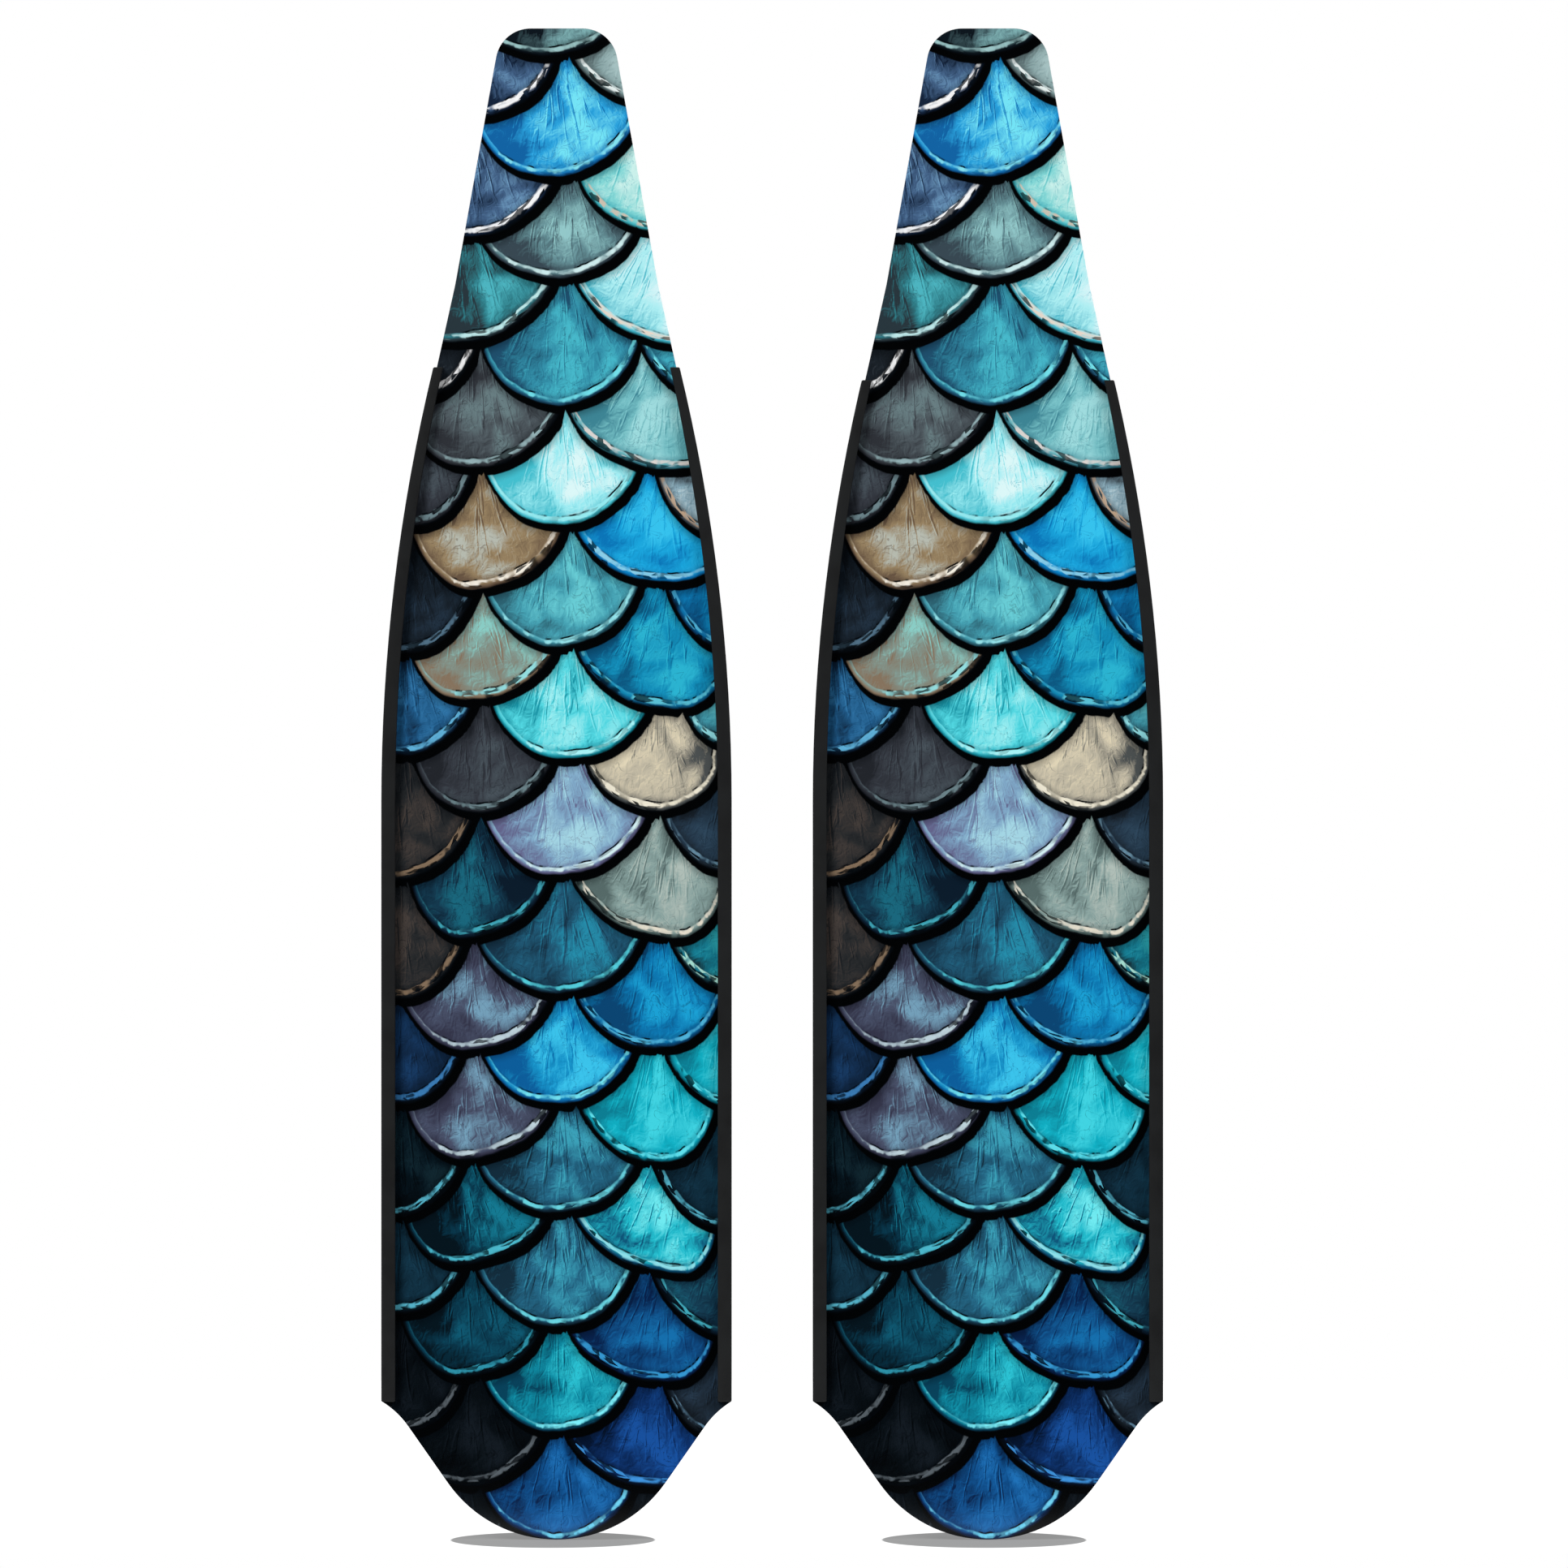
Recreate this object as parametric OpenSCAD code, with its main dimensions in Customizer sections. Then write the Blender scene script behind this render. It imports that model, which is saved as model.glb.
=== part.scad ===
// Pair of freediving fin blades, standing upright side by side on their tips.
// Each blade is a stack of glass-cloth sheets under a printed sheet, with a rubber
// rail glued over each long edge and a bare tab at the top that goes into a foot pocket.
// X runs across the pair, Y through the blade with the print facing -Y, Z up.
// The origin is midway between the two tips, at their lowest point.

/* [Blade] */
// Length of a blade from the tip to the end of the tab
blade_len = 820; // [800:5:850]
// Width of a blade over its rails
blade_w = 190; // [184:1:200]
// Height above the tip where the straight sides start to curve in
straight_top = 400; // [360:5:430]
// Distance between the centre lines of the two blades
pair_pitch = 234; // [205:1:300]

/* [Tab] */
// Width that the tab's sides would have at its end without the rounded corners
tab_end_w = 60; // [54:1:64]
// Radius of the two corners at the end of the tab
tab_corner_r = 19; // [12:1:22]
// Width of the tab where it starts to flare towards the rails
flare_w = 110; // [106:1:114]
// Height above the tip where the flare starts
flare_top = 681; // [675:1:690]
// Width of the blade's own edge where the rails start
neck_w = 130; // [127:1:133]

/* [Tip] */
// Radius of the round tip
tip_r = 72; // [68:1:74]
// Angle of the tip's straight flanks from the vertical
flank_angle = 35; // [33:1:36]
// Height of the ears that the rails stand on
ear_h = 75; // [73:1:78]
// Radius of the hollow curve from each flank out to its ear
ear_r = 48; // [44:1:60]

/* [Layers] */
// Thickness of one glass sheet
ply_t = 0.3; // [0.2:0.05:0.4]
// Thickness of the printed sheet
film_t = 0.2; // [0.1:0.05:0.3]
// Height above the tip where the longest short sheet ends
first_drop = 150; // [110:5:160]
// Distance from the end of each short sheet to the end of the next
drop_pitch = 136; // [125:1:136]
// Height above the tip where the tab's own stiffening sheet ends
doubler_bottom = 660; // [650:5:700]
// Radius of the round tongue that each short sheet ends in
tongue_r = 150; // [110:5:200]

/* [Rails] */
// Height above the tip where the rails start
rail_top = 636; // [630:1:640]
// How much shorter the rails of the right fin are cut
rail_cut = 7; // [0:1:10]
// Width of a rail as seen from the front, along the straight side
rail_w = 7.5; // [6.5:0.5:9]
// Width of a rail at its upper end
rail_top_w = 5.2; // [4.6:0.1:6]
// Thickness of a rail's wall outside the blade's edge, along the straight side
web_t = 2.4; // [2:0.1:3]
// Thickness of that wall at the rail's upper end
web_top_t = 1.8; // [1.5:0.1:2.2]
// Depth of a rail, front to back
rail_depth = 11; // [9:0.5:14]

/* [Hidden] */

// Points along each curve of an outline
steps = 16;
short_plies = 4;

// The three full-length sheets are centred on Y = 0, and the short ones stack up behind them.
core_t = film_t + 2 * ply_t;
film_front = -core_t / 2;
core_back = core_t / 2;

// Half widths
ear_x = blade_w / 2;
edge_x = ear_x - web_t;
neck_x = neck_w / 2;
flare_x = flare_w / 2;

// Where the tip's arc meets the straight flank, and where the flank meets the ear's hollow.
// The hollow is an arc of ear_r that leaves the flank tangentially and ends at the ear's corner.
flank_dir = [sin(flank_angle), cos(flank_angle)];
flank_start = [tip_r * cos(flank_angle), tip_r * (1 - sin(flank_angle))];
ear_corner = [ear_x, ear_h];
to_ear = ear_corner - flank_start;
ear_along = to_ear * flank_dir;
ear_aside = to_ear * [cos(flank_angle), -sin(flank_angle)];
flank_end = flank_start + flank_dir * (ear_along - sqrt(2 * ear_r * ear_aside - pow(ear_aside, 2)));

// Where the tab's corner arc leaves its side and meets its end.
side_slope = (flare_x - tab_end_w / 2) / (blade_len - flare_top);
side_angle = atan(side_slope);
corner_run = tab_corner_r * tan((90 - side_angle) / 2);
corner_low = [tab_end_w / 2 + corner_run * sin(side_angle), blade_len - corner_run * cos(side_angle)];
corner_high = [tab_end_w / 2 - corner_run, blade_len];

// Radius of the arc that starts upright and moves "aside" over a height of "rise".
function upright_r(rise, aside) = (pow(rise, 2) + pow(aside, 2)) / (2 * aside);

// Points from p up to but not including q, on an arc of radius r.
// The arc bulges to the right of the way from p to q, or to the left if r is negative.
function arc(p, q, r) =
    let (
        half = norm(q - p) / 2,
        left = [p[1] - q[1], q[0] - p[0]] / (2 * half),
        centre = (p + q) / 2 + left * sign(r) * sqrt(pow(r, 2) - pow(half, 2)),
        start = atan2(p[1] - centre[1], p[0] - centre[0]),
        sweep = 2 * asin(half / abs(r)) * sign(r)
    )
    [for (i = [0 : steps - 1])
        centre + abs(r) * [cos(start + sweep * i / steps), sin(start + sweep * i / steps)]];

function mirrored(points) = [for (i = [len(points) - 1 : -1 : 0]) [-points[i][0], points[i][1]]];

// A line up one side: upright at "wide" from the ears to straight_top, then an arc in to "narrow".
function side_line(wide, narrow) = concat(
    [[wide, ear_h]],
    arc([wide, straight_top], [narrow, rail_top], upright_r(rail_top - straight_top, wide - narrow)),
    [[narrow, rail_top]]
);

// The blade's right half from the tip's lowest point to the end of the tab.
half_outline = concat(
    arc([0, 0], flank_start, tip_r),
    [flank_start],
    arc(flank_end, ear_corner, -ear_r),
    [ear_corner],
    side_line(edge_x, neck_x),
    [[flare_x, flare_top]],
    arc(corner_low, corner_high, tab_corner_r),
    [corner_high]
);

module blade_outline() {
    left_half = mirrored(half_outline);
    polygon(concat(half_outline, [for (i = [0 : len(left_half) - 2]) left_half[i]]));
}

// The part of the blade's outline above a round tongue whose lowest point is at "bottom".
module short_outline(bottom) {
    intersection() {
        blade_outline();
        union() {
            translate([0, bottom + tongue_r]) circle(r = tongue_r, $fn = 96);
            translate([-ear_x, bottom + tongue_r]) square([blade_w, blade_len]);
        }
    }
}

// A flat sheet of the outline given as its child, from Y = front to Y = back.
module sheet(front, back) {
    translate([0, back, 0]) rotate([90, 0, 0]) linear_extrude(back - front) children();
}

module print_film() {
    color("darkturquoise") sheet(film_front, film_front + film_t) blade_outline();
}

module front_ply() {
    color("dimgray") sheet(film_front + film_t, core_back - ply_t) blade_outline();
}

module back_ply() {
    color("darkslategray") sheet(core_back - ply_t, core_back) blade_outline();
}

// Short sheets are numbered from the longest, which lies on the back sheet.
module short_ply(number) {
    front = core_back + (number - 1) * ply_t;
    color("darkslategray") sheet(front, front + ply_t)
        short_outline(first_drop + (number - 1) * drop_pitch);
}

module tab_doubler() {
    front = core_back + short_plies * ply_t;
    color("darkslategray") sheet(front, front + ply_t) short_outline(doubler_bottom);
}

// A rail on the +X side, up to a height of "top", with a slot that the stack of sheets fills.
module rail(top) {
    outer = side_line(ear_x, neck_x + web_top_t);
    inner = side_line(ear_x - rail_w, neck_x + web_top_t - rail_top_w);
    color("black") difference() {
        sheet(-rail_depth / 2, rail_depth / 2) intersection() {
            polygon(concat(outer, [for (i = [len(inner) - 1 : -1 : 0]) inner[i]]));
            square([blade_w, top]);
        }
        sheet(film_front, core_back) blade_outline();
        for (number = [1 : short_plies]) short_ply(number);
    }
}

module left_fin() {
    translate([-pair_pitch / 2, 0, 0]) children();
}

module right_fin() {
    translate([pair_pitch / 2, 0, 0]) children();
}

module flipped() {
    mirror([1, 0, 0]) children();
}

right_rail_top = rail_top - rail_cut;

left_fin() print_film();  // left_print_film
left_fin() front_ply();  // left_front_ply
left_fin() back_ply();  // left_back_ply
left_fin() short_ply(1);  // left_short_ply_1
left_fin() short_ply(2);  // left_short_ply_2
left_fin() short_ply(3);  // left_short_ply_3
left_fin() short_ply(4);  // left_short_ply_4
left_fin() tab_doubler();  // left_tab_doubler
left_fin() flipped() rail(rail_top);  // left_outer_rail
left_fin() rail(rail_top);  // left_inner_rail

right_fin() print_film();  // right_print_film
right_fin() front_ply();  // right_front_ply
right_fin() back_ply();  // right_back_ply
right_fin() short_ply(1);  // right_short_ply_1
right_fin() short_ply(2);  // right_short_ply_2
right_fin() short_ply(3);  // right_short_ply_3
right_fin() short_ply(4);  // right_short_ply_4
right_fin() tab_doubler();  // right_tab_doubler
right_fin() rail(right_rail_top);  // right_outer_rail
right_fin() flipped() rail(right_rail_top);  // right_inner_rail
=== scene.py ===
"""A pair of freediving fin blades: fish-scale print, black glass laminate and rubber rails.

Lengths are in millimetres wherever a shape is worked out, and turned into metres when it is put into a mesh.
The CAD model gives every place: the blade's outline, its sheets and the ends of its rails are read from it.
"""
import math

import bpy
import numpy as np
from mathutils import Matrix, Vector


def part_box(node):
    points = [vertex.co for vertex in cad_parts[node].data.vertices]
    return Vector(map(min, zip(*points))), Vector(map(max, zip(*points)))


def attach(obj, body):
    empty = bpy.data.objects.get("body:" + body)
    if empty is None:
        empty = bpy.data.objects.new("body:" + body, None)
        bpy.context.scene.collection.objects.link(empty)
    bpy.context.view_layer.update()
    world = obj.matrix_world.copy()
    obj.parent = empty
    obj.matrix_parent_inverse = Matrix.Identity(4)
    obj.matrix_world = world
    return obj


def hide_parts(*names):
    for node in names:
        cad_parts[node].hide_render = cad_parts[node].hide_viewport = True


MM = 0.001

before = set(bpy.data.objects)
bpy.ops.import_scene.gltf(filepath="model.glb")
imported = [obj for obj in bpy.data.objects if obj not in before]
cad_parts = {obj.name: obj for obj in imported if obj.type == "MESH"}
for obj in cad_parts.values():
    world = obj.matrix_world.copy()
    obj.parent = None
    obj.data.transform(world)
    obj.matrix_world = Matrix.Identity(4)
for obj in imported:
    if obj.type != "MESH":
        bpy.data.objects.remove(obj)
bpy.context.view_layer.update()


# ---------------------------------------------------------------- small tools

def linear(hex_colour):
    """An sRGB hex colour as the linear RGBA that Blender works in."""
    srgb = np.array([int(hex_colour[i:i + 2], 16) for i in (1, 3, 5)]) / 255
    rgb = np.where(srgb <= 0.04045, srgb / 12.92, ((srgb + 0.055) / 1.055) ** 2.4)
    return (*rgb.tolist(), 1.0)


def smooth(values, low, high):
    """0 below low, 1 above high, and an S-curve between them."""
    t = np.clip((values - low) / (high - low), 0, 1)
    return t * t * (3 - 2 * t)


def put_mesh(name, points_mm, faces, material, body, replaced):
    """Puts points (n by 3, in millimetres) and faces into a new object that rides on a CAD body."""
    mesh = bpy.data.meshes.new(name)
    mesh.from_pydata((points_mm * MM).tolist(), [], faces)
    mesh.materials.append(material)
    mesh.validate()
    mesh.update()
    piece = bpy.data.objects.new(name, mesh)
    bpy.context.scene.collection.objects.link(piece)
    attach(piece, body)
    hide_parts(replaced)
    return piece


def put_attribute(piece, name, kind, values):
    """Stores one value for each vertex: kind is FLOAT, FLOAT_VECTOR or FLOAT_COLOR."""
    layer = piece.data.attributes.new(name, kind, "POINT")
    field = {"FLOAT": "value", "FLOAT_VECTOR": "vector", "FLOAT_COLOR": "color"}[kind]
    layer.data.foreach_set(field, np.asarray(values, dtype=np.float32).ravel())


def add(tree, kind, inputs=(), **settings):
    """Adds one shader node, with its settings, and links or sets its inputs.

    A node that is given as an input stands for its first output in use. Inputs that share a name go by
    number: Math has its terms at 0, 1 and 2, MapRange its measure at 0, the range at 1 and 2 and what comes
    of it at 3 and 4, and Mix its amount at 0, two numbers at 2 and 3 and two colours at 6 and 7.
    """
    node = tree.nodes.new("ShaderNode" + kind)
    for key, value in settings.items():
        setattr(node, key, value)
    for key, value in dict(inputs).items():
        if isinstance(value, bpy.types.Node):
            value = next(output for output in value.outputs if output.enabled)
        if isinstance(value, bpy.types.NodeSocket):
            tree.links.new(value, node.inputs[key])
        else:
            node.inputs[key].default_value = value
    return node


def new_material(name):
    """A material with an empty node tree, and that tree."""
    material = bpy.data.materials.new(name)
    material.use_nodes = True
    material.node_tree.nodes.clear()
    return material, material.node_tree


def put_surface(tree, inputs):
    """Ends a material's tree in one Principled surface with the given inputs."""
    surface = add(tree, "BsdfPrincipled", inputs)
    add(tree, "OutputMaterial", {"Surface": surface})


# ---------------------------------------------------------------- the blade's outline, from the CAD

FINS = {"left_fin": "left", "right_fin": "right"}


def fin_centre(side):
    """X of a blade's centre line, in millimetres."""
    low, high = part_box(f"{side}_front_ply")
    return (low[0] + high[0]) / 2 / MM


def cad_points(node):
    """A CAD node's vertices, in millimetres."""
    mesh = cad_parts[node].data
    points = np.empty(len(mesh.vertices) * 3)
    mesh.vertices.foreach_get("co", points)
    return points.reshape(-1, 3) / MM


def right_edge():
    """Heights and half widths along the blade's right edge, from the tip up.

    A flat sheet has vertices on its edge only, so its right-hand ones, in order of height, are the edge.
    """
    points = cad_points("left_front_ply")
    edge = np.stack([points[:, 2], points[:, 0] - fin_centre("left")], axis=1)
    edge = np.unique(np.round(edge[edge[:, 1] >= 0], 4), axis=0)
    edge = edge[np.lexsort((-edge[:, 1], edge[:, 0]))]
    return edge[:, 0], edge[:, 1]


EDGE_Z, EDGE_X = right_edge()
BLADE_TOP = EDGE_Z[-1]
EAR_Z = EDGE_Z[EDGE_X.argmax()]
# Y of the printed sheet's front and back.
FILM_LOW, FILM_HIGH = (corner[1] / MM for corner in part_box("left_print_film"))


def half_width(z):
    """Half of the blade's width at a height."""
    return np.interp(z, EDGE_Z, EDGE_X)


# ---------------------------------------------------------------- the fish-scale print

# Each tint is the colour of a scale in shadow, its body colour, its lit colour, and its rim's highlight.
TINTS = {
    "ice_rose": ("#46bcd0", "#b0f4f8", "#dcfcff", "#f0dccc"),
    "ice": ("#46c4d4", "#a0f2f8", "#e2ffff", "#9cf2f6"),
    "pale_aqua": ("#3fb4c0", "#88dedc", "#d2f8f2", "#d8c4b0"),
    "turquoise": ("#0c7f94", "#12b4c8", "#42d6e4", "#62e4f0"),
    "bright_turquoise": ("#1a98aa", "#56dee8", "#a6f6f8", "#b0fafc"),
    "deep_turquoise": ("#063e56", "#0e869c", "#2abccc", "#78e6f0"),
    "cyan": ("#0e5478", "#22bccd", "#70eaf0", "#8fdfe8"),
    "azure": ("#1266a8", "#2ca8e4", "#78eafc", "#8aeaf6"),
    "bright_azure": ("#0c5e9c", "#1898ce", "#3cc6ee", "#78eaf6"),
    "vivid_blue": ("#0a78bc", "#1aaae2", "#38c8f4", "#8fd4ee"),
    "cerulean": ("#0c5a84", "#1392be", "#2cb8d6", "#5ec6da"),
    "deep_blue": ("#0a4674", "#0d7ab4", "#1ba4d8", "#52b8de"),
    "cobalt": ("#062048", "#0e487e", "#146ca8", "#3494cc"),
    "royal_deep": ("#051f44", "#0e4c86", "#1c6aac", "#6ccbe8"),
    "royal_dark": ("#03122b", "#0a2b5e", "#154a92", "#3a88cc"),
    "navy": ("#0a1a2c", "#112a48", "#183c66", "#3c7eb8"),
    "navy_blue": ("#102a44", "#205a88", "#347cb0", "#62b4dc"),
    "pale_blue": ("#4a545c", "#92b6c6", "#d2e8ec", "#c9a888"),
    "lagoon": ("#1f506e", "#3492ac", "#4abed0", "#78e8f2"),
    "seafoam": ("#2e6474", "#48a6b8", "#6cd2da", "#9ceaf0"),
    "pale_teal": ("#3f8898", "#78c4ca", "#a4e2e4", "#e6dcd6"),
    "green_teal": ("#14343e", "#178096", "#2ea8b4", "#aee6d8"),
    "verdigris": ("#2a383f", "#32848f", "#50bac6", "#c8f2f2"),
    "sage": ("#3a4a54", "#658f96", "#98cecf", "#d8f6f6"),
    "split_sage": ("#0c161e", "#466268", "#84b8ba", "#a4cece"),
    "light_sage": ("#5c6e70", "#8aa6a7", "#aac6c6", "#f2faf8"),
    "petrol": ("#163448", "#215c79", "#2690ae", "#57d4e2"),
    "dark_petrol": ("#0a1c2c", "#143c52", "#1a6a80", "#42aabc"),
    "slate_teal": ("#122c3c", "#246684", "#3ca2ba", "#6cd8e4"),
    "deep_teal": ("#04141d", "#08374b", "#0e566e", "#2c8ea4"),
    "split_teal": ("#04141d", "#08394e", "#147a92", "#4cb8cc"),
    "ink_teal": ("#02080d", "#06161f", "#10262f", "#56b2c8"),
    "midnight": ("#06151e", "#0e2a3a", "#143a4e", "#56b2c8"),
    "storm": ("#1a232c", "#263a4c", "#324c62", "#6a90a6"),
    "navy_slate": ("#0e141a", "#1a2530", "#26384a", "#54748a"),
    "lilac": ("#66668e", "#82aaca", "#a8dae8", "#dcf6f8"),
    "indigo": ("#14243c", "#45648a", "#74a2c8", "#ffffff"),
    "violet_grey": ("#35364a", "#4c546c", "#76a2bc", "#c0d4dc"),
    "charcoal": ("#23262c", "#363a42", "#4a545c", "#70888e"),
    "graphite": ("#303339", "#515b61", "#6c8286", "#9ab8bc"),
    "ink_slate": ("#12171c", "#1c232a", "#3c444c", "#f4f4f4"),
    "ink": ("#010305", "#060c11", "#10171e", "#525a60"),
    "umber": ("#14181c", "#282a2c", "#48403c", "#86705a"),
    "bronze": ("#6a5644", "#9c8664", "#bcc0b4", "#fbf4e6"),
    "taupe": ("#8a7660", "#86988e", "#8ed2ca", "#98e4e6"),
    "cream": ("#4e5252", "#bcb4a0", "#e6dabc", "#f6efda"),
    "pearl": ("#586c6a", "#8ca6a2", "#b6c4bc", "#ece4d2"),
}

# Every scale is (x, height, left reach, left depth, right reach, right depth, tint), in millimetres.
# x and height place its lowest point. Each half of its rim is a quarter of an ellipse with that reach and
# depth. The columns run from the tab down to the tip. A higher scale lies over a lower one.
CENTRE_COLUMN = [
    (-4, 807, 52, 38, 46, 44, "split_sage"), (-4, 741, 42, 42, 50, 48, "azure"),
    (0, 686, 46, 40, 48, 48, "sage"), (1, 617, 43, 45, 46, 51, "lagoon"),
    (0, 552, 42, 48, 46, 44, "ice"), (0, 486, 41, 48, 47, 48, "seafoam"),
    (6, 425, 42, 40, 46, 41, "bright_turquoise"), (0, 362, 41, 48, 52, 50, "lilac"),
    (1, 298, 46, 44, 48, 46, "petrol"), (0, 238, 42, 39, 43, 41, "bright_azure"),
    (0, 179, 44, 38, 47, 43, "slate_teal"), (2, 117, 48, 50, 43, 51, "slate_teal"),
    (0, 60, 41, 42, 43, 42, "deep_turquoise"), (1, 1, 43, 42, 43, 46, "royal_deep"),
]
LEFT_COLUMN = [
    (-42, 774, 45, 42, 42, 42, "indigo"), (-51, 708, 45, 45, 54, 52, "indigo"),
    (-55, 651, 45, 45, 58, 57, "verdigris"), (-46, 583, 38, 43, 52, 53, "graphite"),
    (-46, 517, 34, 50, 53, 50, "bronze"), (-49, 457, 33, 44, 50, 40, "taupe"),
    (-44, 396, 34, 40, 44, 43, "charcoal"), (-52, 328, 28, 44, 52, 50, "dark_petrol"),
    (-48, 267, 37, 42, 47, 43, "violet_grey"), (-52, 208, 31, 46, 53, 43, "violet_grey"),
    (-56, 151, 27, 37, 53, 37, "split_teal"), (-52, 90, 34, 52, 45, 35, "deep_teal"),
    (-49, 31, 38, 42, 43, 40, "ink"), (-62, -8, 42, 42, 42, 42, "ink"),
]
RIGHT_COLUMN = [
    (47, 782, 42, 42, 45, 42, "light_sage"), (53, 712, 43, 43, 45, 43, "pale_aqua"),
    (68, 650, 64, 60, 45, 45, "ice_rose"), (64, 582, 60, 45, 45, 45, "pale_teal"),
    (59, 521, 50, 39, 50, 45, "vivid_blue"), (64, 452, 54, 43, 32, 37, "cerulean"),
    (53, 397, 39, 40, 34, 26, "cream"), (65, 328, 60, 50, 26, 33, "pearl"),
    (55, 268, 46, 41, 36, 40, "deep_blue"), (57, 206, 47, 47, 30, 41, "turquoise"),
    (69, 146, 62, 46, 18, 29, "cyan"), (61, 87, 56, 39, 26, 35, "cobalt"),
    (55, 30, 52, 42, 45, 42, "royal_dark"), (62, -8, 42, 42, 42, 42, "ink"),
]
FAR_LEFT_COLUMN = [
    (-75, 621, 40, 45, 36, 52, "ink_slate"), (-79, 551, 40, 45, 37, 52, "charcoal"),
    (-84, 482, 40, 45, 43, 56, "navy_slate"), (-86, 427, 40, 45, 43, 45, "navy_blue"),
    (-86, 360, 40, 45, 44, 57, "umber"), (-86, 295, 40, 45, 38, 48, "umber"),
    (-86, 238, 40, 45, 36, 41, "navy"), (-88, 177, 40, 45, 39, 47, "ink_teal"),
    (-88, 124, 40, 45, 42, 45, "midnight"), (-84, 60, 40, 45, 36, 46, "ink"),
]
FAR_RIGHT_COLUMN = [
    (75, 624, 34, 55, 40, 45, "lagoon"), (84, 547, 33, 61, 40, 45, "pale_blue"),
    (90, 486, 33, 57, 40, 45, "deep_blue"), (94, 432, 28, 38, 40, 45, "seafoam"),
    (97, 363, 42, 48, 40, 45, "storm"), (97, 300, 38, 43, 40, 45, "green_teal"),
    (99, 236, 41, 43, 40, 45, "turquoise"), (99, 169, 48, 51, 40, 45, "midnight"),
    (99, 111, 48, 49, 40, 45, "dark_petrol"), (90, 56, 34, 49, 40, 45, "navy_slate"),
]
SCALES = sorted(
    CENTRE_COLUMN + LEFT_COLUMN + RIGHT_COLUMN + FAR_LEFT_COLUMN + FAR_RIGHT_COLUMN,
    key=lambda scale: -scale[1],
)

# These are painted as if folded down the middle: dark on the left of the fold, light on its right.
FOLDED = {"split_sage", "verdigris", "split_teal"}
# And these are the other way about from the rest: light at the left and dark at the right.
LIT_LEFT = {"cream", "dark_petrol"}

SPOKES = 144        # directions in which a scale's patch is measured
RINGS = 7           # rings of faces between the middle of a patch and its edge
REACH = 80.0        # no patch reaches further than this from its middle
LOOK_STEP = 1.5     # spacing of the points among which a patch's middle is looked for
SPOKE_STEP = 0.25   # spacing of the points along a spoke, among which its end is looked for
LEAST_DEPTH = 0.8   # a scale that shows less than this far in from its edges is left out
FILM_SKIN = 0.1     # thickness of the patches; the rest of the sheet is one plain plate
PLATE_STEP = 10.0   # the plate has a row of points at least this often
FAN_ABOVE = 95.0    # height above a scale's lowest point from which its strokes fan out
FAN_ARC = 70.0      # millimetres across the strokes for each radian of the fan
RIM_ARC = 45.0      # millimetres along a rim for each radian round it
ACROSS_SHIFT = 137  # each scale's patterns start this much further across than the last one's,
ALONG_SHIFT = 71    # and this much further along, so that no two scales are alike

# What each vertex of the print tells its material: see scale_fields() and TINTS.
FIELDS = ("rim", "under", "band", "gleam", "chip", "bead", "tone")
TINT_PARTS = ("shadow_tint", "body_tint", "lit_tint", "rim_tint")


def reaches(scale, x):
    """A scale's reach and depth at points: those of its left or its right half."""
    x0, _, left_reach, left_depth, right_reach, right_depth, _ = scale
    return np.where(x < x0, left_reach, right_reach), np.where(x < x0, left_depth, right_depth)


def into_scale(scale, x, z):
    """Distance from points to a scale's outer edge, positive inside it, and the outward direction there.

    Below its middle the scale is two quarters of an ellipse, and above it goes straight up under the others.
    (1 - r) / |grad r| is the distance, r being 1 on the ellipse. The ellipse is the crest of the scale's
    rim, whose outer side adds 0.7 mm at the flanks and 2.3 mm at the bottom. Two slow waves make it uneven.
    """
    x0, z0 = scale[:2]
    reach, depth = reaches(scale, x)
    across = (x - x0) / reach
    down = np.minimum(0, z - z0 - depth) / depth
    r = np.hypot(across, down) + 1e-9
    grad_x = across / (reach * r)
    grad_z = down / (depth * r)
    grad = np.hypot(grad_x, grad_z) + 1e-9
    uneven = 0.35 * np.sin(0.19 * (x - x0) + z0) + 0.12 * np.sin(0.6 * (x - x0) + 0.4 * (z - z0) + 2 * x0)
    out_x, out_z = grad_x / grad, grad_z / grad
    return (1 - r) / grad + 0.7 - 1.6 * out_z + uneven, out_x, out_z


def scales_over(index):
    """The scales that lie over another one and are near enough to touch it."""
    x0, z0 = SCALES[index][:2]
    near = 2 * REACH
    return [other for other in SCALES[:index] if abs(other[0] - x0) < near and other[1] - z0 < near]


def seen_of(index, x, z):
    """Distance from points to the nearest edge of what shows of a scale, positive where it shows.

    It shows inside its own rim, outside the rims of the scales above it, and inside the blade's outline.
    """
    inside = into_scale(SCALES[index], x, z)[0]
    for other in scales_over(index):
        inside = np.minimum(inside, -into_scale(other, x, z)[0])
    blade = np.minimum(half_width(z) - np.abs(x), np.minimum(z, BLADE_TOP - z))
    return np.minimum(inside, blade)


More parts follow.
